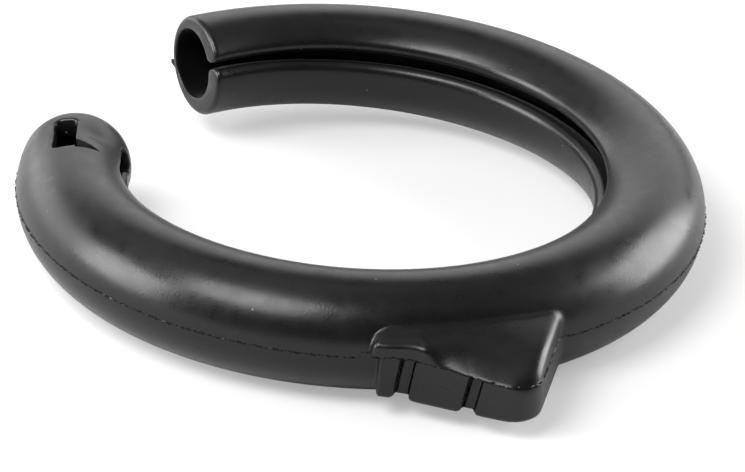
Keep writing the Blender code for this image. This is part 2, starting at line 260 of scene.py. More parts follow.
# The thin flash along the mould's parting line, and its nib at the mouth
flash_height = 0.2
flash_thickness = 0.32
flash_root = 0.4
flash_seat = 0.05
flash_angles = (96.9, -215.0)
flash_step = 0.12
flash_rates = (2.1, 5.3, 9.7, 17.9, 31.0)
flash_evenness = 2.2
flash_least = 0.8
flash_most = 1.8
flash_profile = (-1.0, -0.3, 0.3, 1.0)
wave_height = 0.12
wave_rates = (3.7, 1.3)
nib_height = 0.45
nib_thickness = 2.2
nib_depth = 1.0
nib_drop = 3.3
nib_drop_angle = 6.0
nib_spread = 0.3

# The soft boxes: name, direction seen from the camera's side (0 is in front, minus is left), height
# angle, distance, width and height, and how bright the box itself is beside white
lamps = (
    ("high_left_box", -43.0, 53.0, 0.9, (0.5, 0.4), 9.0),
    ("low_left_box", -80.0, 19.0, 0.9, (0.5, 0.5), 9.0),
    ("left_fill", -124.0, 6.0, 1.0, (0.8, 0.75), 2.6),
    ("right_box", 114.0, 10.0, 0.9, (0.62, 0.85), 7.4),
    ("back_wall", 178.0, 24.0, 1.2, (1.6, 0.7), 1.3),
    ("roof", -110.0, 66.0, 1.0, (0.9, 0.8), 0.45),
    ("right_roof", 100.0, 66.0, 1.0, (1.0, 0.8), 0.12),
)
surround_light = 0.07

# The floor
floor_colour = (0.68, 0.68, 0.68, 1.0)
floor_glow = 0.34
floor_half_width = 3.0
white = (1.0, 1.0, 1.0, 1.0)


def blend(low, high, share):
    """Goes from low to high as share goes from 0 to 1, with level ends."""
    share = np.clip(share, 0.0, 1.0)
    return low + (high - low) * share * share * (3 - 2 * share)


def lip_round_at(ring_angle):
    """The lips' outer rounding, tighter where the slit ends in its window."""
    run = np.radians(ring_angle - dome_angle) * ring_radius - slit_end
    return blend(lip_end_round, lip_outer_round, run / lip_grows_over)


def lean_matrix():
    """The turn that leans the ring as it lies on the floor."""
    about_x = Matrix.Rotation(np.radians(floor_lean_x), 3, "X")
    about_y = Matrix.Rotation(np.radians(floor_lean_y), 3, "Y")
    return np.array(about_x @ about_y)


def into_frame(points):
    """Points in millimetres round the ring's centre, leant and set into the frame, in metres."""
    return (points @ lean_matrix().T + np.array(ring_centre)) * MM


def tube_radius_at(ring_angle):
    """The tube's outer radius, which narrows a little towards both ends."""
    from_mouth = (mouth_angle - ring_angle) / end_taper_angle
    from_dome = (ring_angle - dome_angle) / end_taper_angle
    end_radius = np.where(from_mouth < from_dome, mouth_tube_radius, dome_tube_radius)
    return blend(end_radius, tube_radius, np.minimum(from_mouth, from_dome))


def slit_width_at(ring_angle):
    """The slit's width, which is least at the mouth."""
    run = np.radians(mouth_angle - ring_angle) * ring_radius
    return blend(mouth_slit_width, slit_width, run / slit_widens_over)


def place(ring_angle, outward, up, ahead=0.0):
    """Points of sections at ring angles, moved ahead along the tube if asked.

    x and y are the ring's circle widened by outward, plus ahead along its tangent; z is the ring's
    steady rise plus up.
    """
    turn = np.radians(ring_angle)
    radial = ring_radius + outward
    x = radial * np.cos(turn) - ahead * np.sin(turn)
    y = radial * np.sin(turn) + ahead * np.cos(turn)
    z = rise_per_turn * ring_angle / 360.0 + up
    return np.stack(np.broadcast_arrays(x, y, z), axis=-1)


def steps(*stretches):
    """Values through several stretches, each (start, end, step), ends shared between neighbours."""
    parts = []
    for start, end, step in stretches:
        count = int(np.ceil(abs(end - start) / step))
        parts.append(np.linspace(start, end, count, endpoint=False))
    return np.concatenate(parts + [[stretches[-1][1]]])


def crowded(start, end, count, crowds):
    """Count values from start to end, denser inside each crowd, which is (low, high, gain).

    The values are where the running sum of a density reaches equal shares of its whole.
    """
    fine = np.linspace(start, end, crowd_samples)
    density = np.ones_like(fine)
    for low, high, gain in crowds:
        middle = (low + high) / 2
        half = (high - low) / 2
        density += gain / (1 + np.exp((np.abs(fine - middle) - half) / crowd_edge))
    total = np.cumsum(density)
    total = (total - total[0]) / (total[-1] - total[0])
    return np.interp(np.linspace(0, 1, count), total, fine)


def round_meet(first, second, radius):
    """The distance outside where two solids meet, their shared edge rounded to a radius."""
    over_first = np.maximum(first + radius, 0)
    over_second = np.maximum(second + radius, 0)
    return np.minimum(np.maximum(first, second), -radius) + np.hypot(over_first, over_second)


def round_join(first, second, radius):
    """The distance outside two joined solids, the corner between them filled to a radius."""
    under_first = np.maximum(radius - first, 0)
    under_second = np.maximum(radius - second, 0)
    return np.maximum(np.minimum(first, second), radius) - np.hypot(under_first, under_second)


def across_face(points):
    """How far points lie outside the lug's outer face, and how far along it, in plan.

    The face is a straight line in plan, except that it bulges a little towards its thin start.
    """
    face = np.radians(lug_face_angle)
    ring_angle = np.degrees(np.arctan2(points[..., 1], points[..., 0]))
    share = (lug_bulge_foot_angle - ring_angle) / (lug_bulge_foot_angle - lug_bulge_full_angle)
    bulge = blend(0.0, lug_start_bulge, share) * (ring_angle < lug_bulge_foot_angle)
    out = points[..., 0] * np.cos(face) + points[..., 1] * np.sin(face) - lug_face_distance - bulge
    along = points[..., 1] * np.cos(face) - points[..., 0] * np.sin(face)
    return out, along


def outside_face(points, up, parting_height):
    """How far points lie outside the lug's face, which leans by its draft below the parting line."""
    face, _ = across_face(points)
    return face + lug_face_draft * np.maximum(parting_height - up, 0.0)


def groove_gap(points, up):
    """How far points along the lug's face lie outside the nearest groove, less than 0 inside one."""
    _, along = across_face(points)
    gaps = [np.abs(along - middle - lean * up) - groove_width / 2 for middle, lean in grooves]
    return np.minimum(*gaps)


def lug_shape_at(ring_angle):
    """Crease reach, crease height, inner height, parting height and bottom height at ring angles."""
    return [np.interp(ring_angle, lug_shape[:, 0], lug_shape[:, column]) for column in range(1, 6)]


def outside_lug_and_tube(ring_angle, section_angle, reach):
    """How far a point of a section lies outside the tube and its lug.

    The lug is where its face, stop, start, bottom, ledge and facet all hold, edges rounded. Its
    stop and its start step at the parting line, where the mould's halves meet.
    """
    outward = reach * np.cos(section_angle)
    up = reach * np.sin(section_angle)
    points = place(ring_angle, outward, up)
    crease_reach, crease_height, inner_height, parting_height, bottom_height = lug_shape_at(ring_angle)
    above = blend(0.0, 1.0, (up - parting_height) / parting_step_height + 0.5)

    face = outside_face(points, up, parting_height)
    stop_turn = np.radians(lug_stop_angle)
    draft_share = np.clip((up - parting_height) / lug_stop_draft_height, -1, 0)
    low_stop = lug_low_stop_distance + lug_stop_draft * draft_share
    stop_distance = low_stop + (lug_stop_distance - low_stop) * above
    stop = points[..., 0] * np.cos(stop_turn) + points[..., 1] * np.sin(stop_turn) - stop_distance
    bend_share = np.clip(up / inner_height, 0, lug_high_start_limit) ** 4
    high_start = lug_high_start_angle + lug_high_start_bend * bend_share
    start_angle = lug_start_angle + (high_start - lug_start_angle) * above
    start = np.radians(start_angle - ring_angle) * (ring_radius + outward)

    tube = reach - tube_radius_at(ring_angle)
    turn = np.degrees((section_angle + np.pi) % (2 * np.pi) - np.pi)
    fade = (turn - proud_full_section_angle) / (proud_end_section_angle - proud_full_section_angle)
    skin = tube - blend(lug_proud, -lug_sunk, fade)

    ledge_slope = (inner_height - crease_height) / (crease_reach - ledge_inner_reach)
    ledge = (up - inner_height + (outward - ledge_inner_reach) * ledge_slope) / np.hypot(1, ledge_slope)
    foot_share = (ring_angle - facet_start_angle) / (facet_full_angle - facet_start_angle)
    foot_height = blend(crease_height - facet_least_drop, parting_height, foot_share)
    face_reach = lug_face_distance / np.cos(np.radians(ring_angle - lug_face_angle)) - ring_radius
    facet_slope = (crease_height - foot_height) / np.maximum(face_reach - crease_reach, facet_least_run)
    facet_slope = np.minimum(facet_slope, facet_steepest)
    facet = (up - crease_height + (outward - crease_reach) * facet_slope) / np.hypot(1, facet_slope)

    top = round_meet(np.minimum(ledge, skin), facet, crease_round)
    side = round_meet(np.minimum(face, skin), stop, lug_nose_round)
    near_stop = blend(0.0, 1.0, (stop + lug_stop_edge_reach) / lug_stop_edge_reach * 2)
    start_edge, full_edge = foot_edge_angles
    edge_share = (ring_angle - start_edge) / (full_edge - start_edge)
    edge_round = blend(lug_edge_round, lug_foot_edge_round, edge_share)
    edge_round = edge_round + (lug_stop_edge_round - edge_round) * near_stop
    body = round_meet(side, top, edge_round)
    into = np.maximum(groove_corner_round - np.maximum(groove_gap(points, up), 0), 0)
    rise = groove_corner_round - np.sqrt(groove_corner_round**2 - into**2)
    body = round_meet(body, bottom_height + rise - up, lug_bottom_round)
    body = round_meet(body, start, lug_start_round)
    return round_join(tube, body, lug_fillet)


def skin_reach(ring_angle, section_angle):
    """The skin's distance from the tube's centre line, found on each ray by halving a stretch.

    Away from the tube's outer side, where there is no lug, it is the tube's own radius.
    """
    plain = np.broadcast_to(tube_radius_at(ring_angle), np.broadcast(ring_angle, section_angle).shape)
    low = plain - ray_start_depth
    high = np.full_like(low, ray_end)
    for _ in range(ray_halvings):
        middle = (low + high) / 2
        outside = outside_lug_and_tube(ring_angle, section_angle, middle) > 0
        high = np.where(outside, middle, high)
        low = np.where(outside, low, middle)
    return np.where(np.cos(section_angle) > lug_search_cosine, (low + high) / 2, plain)


def cut_grooves(points, ring_angle, up):
    """Points of the lug's face moved straight in where a groove runs below the parting line.

    The depth goes from nothing to full across the groove's wall, with a thin slot along its foot.
    """
    parting_height = lug_shape_at(ring_angle)[3]
    face = outside_face(points, up, parting_height)
    gap = groove_gap(points, up)
    from_slot = (gap + groove_slot_width) / groove_slot_width
    depth = blend(0.0, groove_depth, 0.5 - gap / groove_wall)
    depth = depth + groove_slot_depth * np.exp(-2.0 * from_slot**2)
    depth = depth * blend(0.0, 1.0, (parting_height - groove_top_gap - up) / groove_top_fade)
    push = np.maximum(face + depth, 0.0) * (depth > groove_least_depth)
    turn = np.radians(lug_face_angle)
    direction = np.array([np.cos(turn), np.sin(turn), 0.0])
    return points - push[..., None] * direction


def window_drop(run, section_angle, reach, window):
    """How far the skin dips round a window's rim, a quarter circle down to the cut.

    run is the distance along the tube from the dome's foot. The rim's outline has two long sides,
    which may differ in length, and round corners; the dip depends on the distance outside it.
    """
    middle_angle, width, near_length, far_length = window
    off = section_angle - np.radians(middle_angle)
    across = reach * np.sin(off)
    share = np.clip(across / width + 0.5, 0, 1)
    length = near_length + (far_length - near_length) * share
    slope = np.cos(np.arctan2(far_length - near_length, width))
    over_start = window_start - run
    over_end = (run - window_start - length) * slope
    over_along = np.maximum(over_start, over_end) + window_corner_round
    over_across = np.abs(across) - (width / 2 - window_corner_round)
    gap = np.hypot(np.maximum(over_along, 0), np.maximum(over_across, 0))
    gap = gap + np.minimum(np.maximum(over_along, over_across), 0) - window_corner_round
    into = np.clip(window_rim_round - gap, 0, window_rim_round)
    drop = window_rim_round - np.sqrt(window_rim_round**2 - into**2)
    return np.where(np.cos(off) > 0, drop, 0.0)


def closed_end_drop(run, section_angle, reach):
    """All that sinks the skin at the closed end: the strap's shallow dish and the windows' rims."""
    dish_run, dish_angle, dish_reach, dish_depth = strap_dish
    turn = (section_angle - np.radians(dish_angle) + np.pi) % (2 * np.pi) - np.pi
    away = np.hypot(run - dish_run, reach * turn) / dish_reach
    drop = dish_depth * np.exp(-(away**2))
    for window in (top_window, bottom_window, slit_window):
        drop = np.maximum(drop, window_drop(run, section_angle, reach, window))
    return drop


def bore_middle():
    """The bore's middle in the slit's own axes, (along the slit's depth, across it)."""
    turn = np.radians(slit_section_angle)
    return bore_outward_shift * np.cos(turn), -bore_outward_shift * np.sin(turn)


def lip_rounding(tube, bore, half_slit, outer_round, inner_round, side):
    """One lip's outline in the slit's own axes, (along the slit's depth, across it).

    An arc inside the tube's circle and an arc outside the bore's circle, both tangent to the slit's
    side. Returns the arcs' points and the angles at which they touch the two circles.
    """
    bore_along, bore_across = bore_middle()
    outer_across = half_slit + outer_round
    outer_along = np.sqrt((tube - outer_round) ** 2 - outer_across**2)
    outer_end = np.arctan2(outer_across, outer_along)
    inner_across = half_slit + inner_round
    gap = inner_across - side * bore_across
    inner_along = bore_along + np.sqrt((bore + inner_round) ** 2 - gap**2)
    bore_end = np.arctan2(gap, inner_along - bore_along)
    share = np.linspace(0, 1, lip_rows)
    outer_turn = outer_end + (-np.pi / 2 - outer_end) * share
    inner_turn = -np.pi / 2 + (bore_end - np.pi / 2) * share
    outer_arc_along = outer_along + outer_round * np.cos(outer_turn)
    outer_arc_across = outer_across + outer_round * np.sin(outer_turn)
    inner_arc_along = inner_along + inner_round * np.cos(inner_turn)
    inner_arc_across = inner_across + inner_round * np.sin(inner_turn)
    along = np.concatenate([outer_arc_along, inner_arc_along], axis=1)
    across = np.concatenate([outer_arc_across, inner_arc_across], axis=1)
    return along, side * across, outer_end, bore_end


def skin_section_angles(ring_angle, near_end, far_end):
    """Section angles of the skin's rows: even on the plain tube, crowded on the lug and the windows."""
    start = slit_section_angle + rows_clear_of_slit
    end = slit_section_angle + 360.0 - rows_clear_of_slit
    plain = np.linspace(start, end, skin_rows)
    on_lug = crowded(start, end, skin_rows, lug_row_crowds)
    on_end = crowded(start, end, skin_rows, end_row_crowds)
    lug_share = blend(0, 1, (ring_angle - lug_start_angle + lug_rows_lead) / lug_rows_change)
    lug_share = lug_share * blend(0, 1, (lug_end_angle + lug_rows_lead - ring_angle) / lug_rows_change)
    end_share = blend(0, 1, (dome_angle + end_rows_lead - ring_angle) / end_rows_change)
    angles = plain + (on_lug - plain) * lug_share + (on_end - plain) * end_share
    share = (angles - start) / (end - start)
    middle = np.radians(slit_section_angle)
    return middle + near_end + (2 * np.pi - near_end - far_end) * share


def tube_sections(ring_angle, tube, bore, half_slit, outer_round, inner_round):
    """Outlines of the slit tube at many ring angles, as arrays (column, row) of outward and up.

    Rows run round the skin, round the far lip, back round the bore and round the near lip.
    """
    lip = (tube, bore, half_slit, outer_round, inner_round)
    near_along, near_across, near_outer, near_bore = lip_rounding(*lip, 1)
    far_along, far_across, far_outer, far_bore = lip_rounding(*lip, -1)
    section_angle = skin_section_angles(ring_angle, near_outer, far_outer)
    bore_along, bore_across = bore_middle()
    share = np.linspace(0, 1, bore_rows)
    bore_turn = ((2 * np.pi - far_bore) + (near_bore + far_bore - 2 * np.pi) * share)[:, 1:-1]
    round_along = bore_along + bore * np.cos(bore_turn)
    round_across = bore_across + bore * np.sin(bore_turn)
    along = np.concatenate([far_along, round_along, near_along[:, ::-1]], axis=1)
    across = np.concatenate([far_across, round_across, near_across[:, ::-1]], axis=1)
    turn = np.radians(slit_section_angle)
    rest_out = along * np.cos(turn) - across * np.sin(turn)
    rest_up = along * np.sin(turn) + across * np.cos(turn)
    return section_angle[:, 1:-1], rest_out, rest_up


def grid_quads(first, columns, rows, closed=True):
    """Corner numbers of the quads of a grid whose vertices are numbered row by row in each column."""
    column = np.arange(columns - 1)[:, None]
    row = np.arange(rows if closed else rows - 1)[None, :]
    after = (row + 1) % rows
    here = first + column * rows + row
    here_after = first + column * rows + after
    next_after = first + (column + 1) * rows + after
    next_here = first + (column + 1) * rows + row
    return np.stack([here, next_here, next_after, here_after], axis=-1).reshape(-1, 4)


def mesh_object(name, points, faces):
    """An object from frame points and a list of face arrays, each array with one number of corners."""
    mesh = bpy.data.meshes.new(name)
    corners = np.concatenate([face.reshape(-1) for face in faces])
    sizes = np.concatenate([np.full(len(face), face.shape[1]) for face in faces])
    starts = np.concatenate([[0], np.cumsum(sizes)[:-1]])
    mesh.vertices.add(len(points))
    mesh.vertices.foreach_set("co", points.astype(np.float32).reshape(-1))
    mesh.loops.add(len(corners))
    mesh.loops.foreach_set("vertex_index", corners.astype(np.int32))
    mesh.polygons.add(len(sizes))
    mesh.polygons.foreach_set("loop_start", starts.astype(np.int32))
    mesh.update(calc_edges=True)
    mesh.validate()
    made = bpy.data.objects.new(name, mesh)
    bpy.context.scene.collection.objects.link(made)
    return made


def close_end(last, foot_out, foot_up, foot_numbers, first_number, radius, shift):
    """Closes the skin, or the bore if it has a shift, with a short tube and a dome.

    The foot's arc is first closed across the slit to a whole circle. The circle is carried straight
    to the dome's foot, then round a quarter circle to the tip: its distance ahead is the radius
    times a sine, and its own radius is the radius times the cosine. Returns the new points, their
    faces and the numbers of the points that close the arc. Numbers count on from first_number.
    """
    is_skin = shift == 0.0
    turns = np.unwrap(np.arctan2(foot_up, foot_out - shift))
    closing = np.linspace(turns[-1], turns[0] + 2 * np.pi, closing_rows + 2)[1:-1]
    foot_radius = tube_radius_at(last) if is_skin else radius
    closing_points = place(last, shift + foot_radius * np.cos(closing), foot_radius * np.sin(closing))
    closing_numbers = first_number + np.arange(closing_rows)
    foot = np.concatenate([foot_numbers, closing_numbers])
    turns = np.concatenate([turns, closing])[None, :]

    straight = np.linspace(slit_end, 0, straight_columns)[1:, None]
    dome = np.linspace(0, np.pi / 2, dome_columns)[1:-1, None]
    run = np.concatenate([straight, -radius * np.sin(dome)])
    ring = np.concatenate([np.full_like(straight, radius), radius * np.cos(dome)])
    if is_skin:
        # Between the slit's end and the dome the skin keeps the tube's taper
        ring[: len(straight)] = tube_radius_at(dome_angle + np.degrees(straight / ring_radius))
        level = np.maximum(ring, window_least_level * radius)
        level = np.broadcast_to(level, (len(run), turns.shape[1]))
        ring = ring - closed_end_drop(run, turns, level)
    ring_angle = dome_angle + np.degrees(np.maximum(run, 0) / ring_radius)
    loops = place(ring_angle, shift + ring * np.cos(turns), ring * np.sin(turns), np.minimum(run, 0))
    tip_point = place(dome_angle, shift, 0.0, -radius)[None, :]

    columns, rows = loops.shape[:2]
    dome_first = first_number + closing_rows
    tip = dome_first + columns * rows
    rim = tip - rows
    row = np.arange(rows)
    after = np.roll(row, -1)
    faces = [
        np.stack([foot, dome_first + row, dome_first + after, foot[after]], axis=-1),
        grid_quads(dome_first, columns, rows),
        np.stack([rim + row, np.full(rows, tip), rim + after], axis=-1),
    ]
    if not is_skin:
        faces = [face[:, ::-1] for face in faces]
    points = np.concatenate([closing_points, loops.reshape(-1, 3), tip_point])
    return points, faces, closing_numbers


def column_angles(first, last):
    """Ring angles of the skin's columns between the mouth's rim and the slit's end."""
    starts = [first] + [start for start, _ in column_stretches]
    step_sizes = [first_column_step] + [step for _, step in column_stretches]
    return steps(*zip(starts, starts[1:] + [last], step_sizes))


def make_skin():
    """The whole rubber body: the slit tube with its lug, then the domed end, as one closed mesh."""
    cut = np.tan(np.radians(mouth_cut_turn))
    last = dome_angle + np.degrees(slit_end / ring_radius)

    # The mouth's rounded rim
    quarter = np.linspace(0, np.pi / 2, rim_columns)[:, None]
    rim_drop = mouth_rim_round * (1 - np.sin(quarter))
    bore_drop = mouth_bore_round * (1 - np.sin(quarter))
    back = mouth_rim_round * (1 - np.cos(quarter))
    rim_angle = mouth_angle - np.degrees(back / ring_radius)
    first = mouth_angle - np.degrees(rim_lead * mouth_rim_round / ring_radius)

    # Sections at every column, the rim's first
    columns = column_angles(first, last)[:, None]
    angle = np.concatenate([rim_angle, columns])
    tube = np.concatenate([mouth_tube_radius - rim_drop, tube_radius_at(columns)])
    bore = np.concatenate([bore_radius + bore_drop, np.full_like(columns, bore_radius)])
    half_slit = np.concatenate([mouth_slit_width / 2 + bore_drop, slit_width_at(columns) / 2])
    inner_round = np.concatenate([lip_inner_round - bore_drop, np.full_like(columns, lip_inner_round)])
    slant_share = blend(1, 0, (first - columns) / mouth_slant_angle)
    slant = np.concatenate([np.full_like(rim_angle, cut), cut * slant_share])
    sections = tube_sections(angle, tube, bore, half_slit, lip_round_at(angle), inner_round)
    section_angle, rest_out, rest_up = sections

    # The lug, the closed end's hollows and the lug's grooves
    reach = np.broadcast_to(tube, section_angle.shape).copy()
    search_start, search_end = lug_search_angles
    on_lug = (angle[:, 0] < search_end) & (angle[:, 0] > search_start)
    reach[on_lug] = skin_reach(angle[on_lug], section_angle[on_lug])
    run = np.radians(angle - dome_angle) * ring_radius
    reach = reach - closed_end_drop(run, section_angle, reach)
    up = reach * np.sin(section_angle)
    all_out = np.concatenate([reach * np.cos(section_angle), rest_out], axis=1)
    all_up = np.concatenate([up, rest_up], axis=1)
    points = place(angle, all_out, all_up, all_out * slant)
    skin_count = section_angle.shape[1]
    lug_points = points[on_lug]
    lug_points[:, :skin_count] = cut_grooves(lug_points[:, :skin_count], angle[on_lug], up[on_lug])
    points[on_lug] = lug_points
    column_count, row_count = points.shape[:2]
    faces = [grid_quads(0, column_count, row_count), np.arange(row_count)[None, :]]

    # The domed end: the skin's rows and then the bore's rows are closed
    near_lip_end = row_count - 1
    near_lip_inner = row_count - 2 * lip_rows
    far_lip_inner = skin_count + 2 * lip_rows - 1
    last_column = (column_count - 1) * row_count
    skin_ring = np.concatenate([[near_lip_end], np.arange(skin_count + 1)])
    bore_ring = np.arange(near_lip_inner, far_lip_inner - 1, -1)
    vertices = [points.reshape(-1, 3)]
    count = column_count * row_count
    wall = []
    skin_end = (skin_ring, dome_tube_radius, 0.0)
    bore_end = (bore_ring, bore_radius, bore_outward_shift)
    for kept, radius, shift in (skin_end, bore_end):
        foot = (all_out[-1, kept], all_up[-1, kept], last_column + kept)
        end_points, end_faces, closing_numbers = close_end(last, *foot, count, radius, shift)
        vertices.append(end_points)
        faces += end_faces
        wall.append(closing_numbers)
        count += len(end_points)

    # The slit's end wall, which the slit window takes away
    near_rows = last_column + np.arange(near_lip_end, near_lip_inner - 1, -1)
    far_rows = last_column + np.arange(far_lip_inner, skin_count - 1, -1)
    faces.append(np.concatenate([near_rows, wall[1][::-1], far_rows, wall[0]])[None, :])
    return mesh_object("sleeve_skin", into_frame(np.concatenate(vertices)), faces)


def window_outline(window):
    """A window's outline, (distance along the tube, distance across), with round corners.

    Each corner's arc is tangent to both sides: its centre lies on the line that halves the corner.
    """
    _, width, near_length, far_length = window
    along = window_start + np.array([0, near_length, far_length, 0])
    across = np.array([-1, -1, 1, 1]) * width / 2
    corner = np.stack([along, across], axis=-1)
    back = np.roll(corner, 1, axis=0) - corner
    ahead = np.roll(corner, -1, axis=0) - corner
    back = back / np.linalg.norm(back, axis=1, keepdims=True)
    ahead = ahead / np.linalg.norm(ahead, axis=1, keepdims=True)
    half = np.arccos(np.sum(back * ahead, axis=1, keepdims=True)) / 2
    middle = (back + ahead) / np.linalg.norm(back + ahead, axis=1, keepdims=True)
    centre = corner + middle * window_corner_round / np.sin(half)
    away = np.arctan2(-middle[:, 1:], -middle[:, :1])
    turn = away + (np.pi / 2 - half) * np.linspace(-1, 1, window_corner_steps)
    points = centre[:, None, :] + window_corner_round * np.stack([np.cos(turn), np.sin(turn)], axis=-1)
    return points[..., 0].reshape(-1), points[..., 1].reshape(-1)


def prism(low, high):
    """A closed prism's points and faces, from its two loops of points."""
    rows = len(low)
    points = np.concatenate([low, high])
    row = np.arange(rows)[None, :]
    return points, [grid_quads(0, 2, rows)[:, ::-1], row[:, ::-1], rows + row]


def window_cutter(window):
    """A window's outline carried along its section angle."""
    turn = np.radians(window[0])
    along, across = window_outline(window)
    ring_angle = dome_angle + np.degrees(along / ring_radius)
    loops = []
    for height in window_cut:
        outward = height * np.cos(turn) - across * np.sin(turn)
        up = height * np.sin(turn) + across * np.cos(turn)
        loops.append(place(ring_angle, outward, up))
    return prism(*loops)


def corner_cutter():
    """A wedge that cuts the sunken corner: shallow at one place, deep at the others."""
    along, section_angle, depth = np.array(corner_places).T
    turn = np.radians(section_angle)
    ring_angle = dome_angle + np.degrees(along / ring_radius)
    clear = np.full_like(depth, dome_tube_radius + corner_clearance)
    loops = []
    for reach in (dome_tube_radius - depth, clear):
        loops.append(place(ring_angle, reach * np.cos(turn), reach * np.sin(turn)))
    return prism(*loops)


def cut_windows(skin):
    """Takes the windows and the sunken corner out of the skin, one cutter after another."""
    cuts = [window_cutter(window) for window in (top_window, bottom_window, slit_window)]
    for points, faces in cuts + [corner_cutter()]:
        cutter = mesh_object("cutter", into_frame(points), faces)
        step = skin.modifiers.new("cut", "BOOLEAN")
        step.operation = "DIFFERENCE"
        step.solver = "EXACT"
        step.object = cutter
        graph = bpy.context.evaluated_depsgraph_get()
        cut = bpy.data.meshes.new_from_object(skin.evaluated_get(graph))
        skin.modifiers.clear()
        skin.data = cut
        bpy.data.objects.remove(cutter)


def parting_reach(ring_angle):
    """Where the skin meets the parting line's height, as reach from the tube's centre line and up.

    The section angle is found by repeating: angle = arcsin(height / reach(angle)).
    """
    past_end = lug_end_angle + parting_past_end
    before_start = lug_high_start_angle - parting_before_start
    on_lug = (ring_angle < past_end) & (ring_angle > before_start)
    height = np.where(on_lug, lug_shape_at(ring_angle)[3], 0.0)
    fade = (lug_end_angle + parting_fade_start - ring_angle) / parting_fade_angle
    height = height * blend(0.0, 1.0, fade)
    section_angle = np.zeros_like(height)
    for _ in range(parting_rounds):
        reach = tube_radius_at(ring_angle)
        reach[on_lug] = skin_reach(ring_angle[on_lug], section_angle[on_lug])
        section_angle = np.arcsin(height / reach)
    return reach * np.cos(section_angle), height


def make_flash():
    """The parting flash: a thin ragged fin along the outer equator, swept as a four-sided profile.

    Its height is a mean height times a base share plus a sum of sines of the ring angle, nothing
    where that is below 0. At the mouth it drops below the equator and ends in a nib, which fades
    with the square of the angle from its tip.
    """
    start, end = flash_angles
    ring_angle = np.arange(start, end, -flash_step)
    reach, height = parting_reach(ring_angle)
    ragged = sum(np.sin(ring_angle * rate + rate * rate) for rate in flash_rates) / flash_evenness
    fin = flash_height * np.clip(flash_least + ragged, 0.0, flash_most)
    wave = wave_height * np.sin(ring_angle * wave_rates[0]) * np.sin(ring_angle * wave_rates[1])
    wave = wave - nib_drop * blend(0.0, 1.0, (ring_angle - start + nib_drop_angle) / nib_drop_angle)
    reach = np.sqrt(reach**2 - wave**2)
    nib = np.exp(-((ring_angle - start) ** 2) / nib_spread)
    tip = reach + fin + nib_height * nib - flash_seat
    root = reach - flash_root - nib_depth * nib
    half = (flash_thickness + nib_thickness * nib)[:, None] / 2
    outward = np.stack([root, tip, tip, root], axis=1)
    up = (height + wave)[:, None] + half * np.array(flash_profile)
    points = place(ring_angle[:, None], outward, up)
    columns, rows = points.shape[:2]
    last = (columns - 1) * rows + np.arange(rows)
    faces = [grid_quads(0, columns, rows), np.arange(rows)[None, :], last[None, ::-1]]
    return mesh_object("parting_flash", into_frame(points.reshape(-1, 3)), faces)


class Value:
    """A shader socket that can be used in Python expressions, which add Math nodes."""

    def __init__(self, shader, socket):
        self.shader = shader
        self.socket = socket

    def maths(self, operation, first, second):
        return self.shader.node("ShaderNodeMath", {"operation": operation}, {0: first, 1: second}).out()

    def __add__(self, other):
        return self.maths("ADD", self, other)

    __radd__ = __add__

    def __mul__(self, other):
        return self.maths("MULTIPLY", self, other)

    __rmul__ = __mul__

    def __lt__(self, other):
        return self.maths("LESS_THAN", self, other)

    def __gt__(self, other):
        return self.maths("GREATER_THAN", self, other)


class Node:
    """A shader node, whose outputs are read as Values."""

    def __init__(self, shader, made):
        self.shader = shader
        self.made = made

    def out(self, name=0):
        return Value(self.shader, self.made.outputs[name])


class Shader:
    """A material's or world's nodes, all made by one method."""

    def __init__(self, owner):
        owner.use_nodes = True
        self.tree = owner.node_tree
        self.tree.nodes.clear()

    def node(self, kind, settings=None, sockets=None):
        """A node of a kind: its settings are set first, then its sockets take values or links."""
        made = self.tree.nodes.new(kind)
        for name, value in (settings or {}).items():
            setattr(made, name, value)
        for name, value in (sockets or {}).items():
            if isinstance(value, Value):
                self.tree.links.new(value.socket, made.inputs[name])
            else:
                made.inputs[name].default_value = value
        return Node(self, made)

    def noise(self, scale, detail):
        """Noise over the piece's own place, from 0 to 1."""
        place_on = self.node("ShaderNodeTexCoord").out("Object")
        sockets = {"Vector": place_on, "Scale": scale, "Detail": detail}
        return self.node("ShaderNodeTexNoise", None, sockets).out("Fac")

    def mixed(self, share, low, high):
        """A colour that goes from low to high as share goes from 0 to 1."""
        sockets = {"Factor": share, "A": low, "B": high}
        return self.node("ShaderNodeMix", {"data_type": "RGBA"}, sockets).out(2)


def rubber_material():
    """Black moulded rubber: satin, with fine scuffs, a faintly uneven skin and a few specks of dust."""
    material = bpy.data.materials.new("black_rubber")
    shader = Shader(material)
    place_on = shader.node("ShaderNodeTexCoord").out("Object")
    fine = shader.noise(fine_scale, 3.0)
    broad = shader.noise(broad_scale, 4.0)
    smear = shader.noise(smear_scale, 5.0)
    cells = shader.node("ShaderNodeTexVoronoi", None, {"Vector": place_on, "Scale": dust_scale})
    pick = shader.node("ShaderNodeSeparateColor", None, {"Color": cells.out("Color")}).out("Red")
    speck = (cells.out("Distance") < dust_size) * (pick > 1.0 - dust_share)
    roughness = least_roughness + broad_roughness * broad + fine_roughness * fine
    roughness = roughness + smear_roughness * smear
    bump_sockets = {"Strength": bump_strength, "Distance": bump_depth, "Height": fine + 0.8 * smear}
    bump = shader.node("ShaderNodeBump", None, bump_sockets)
    finish = shader.node(
        "ShaderNodeBsdfPrincipled",
        None,
        {
            "Base Color": shader.mixed(speck, rubber_colour, dust_colour),
            "Roughness": roughness,
            "Normal": bump.out("Normal"),
            "IOR": 1.5,
            "Sheen Weight": 0.08,
            "Sheen Roughness": 0.35,
        },
    )
    shader.node("ShaderNodeOutputMaterial", None, {"Surface": finish.out("BSDF")})
    return material


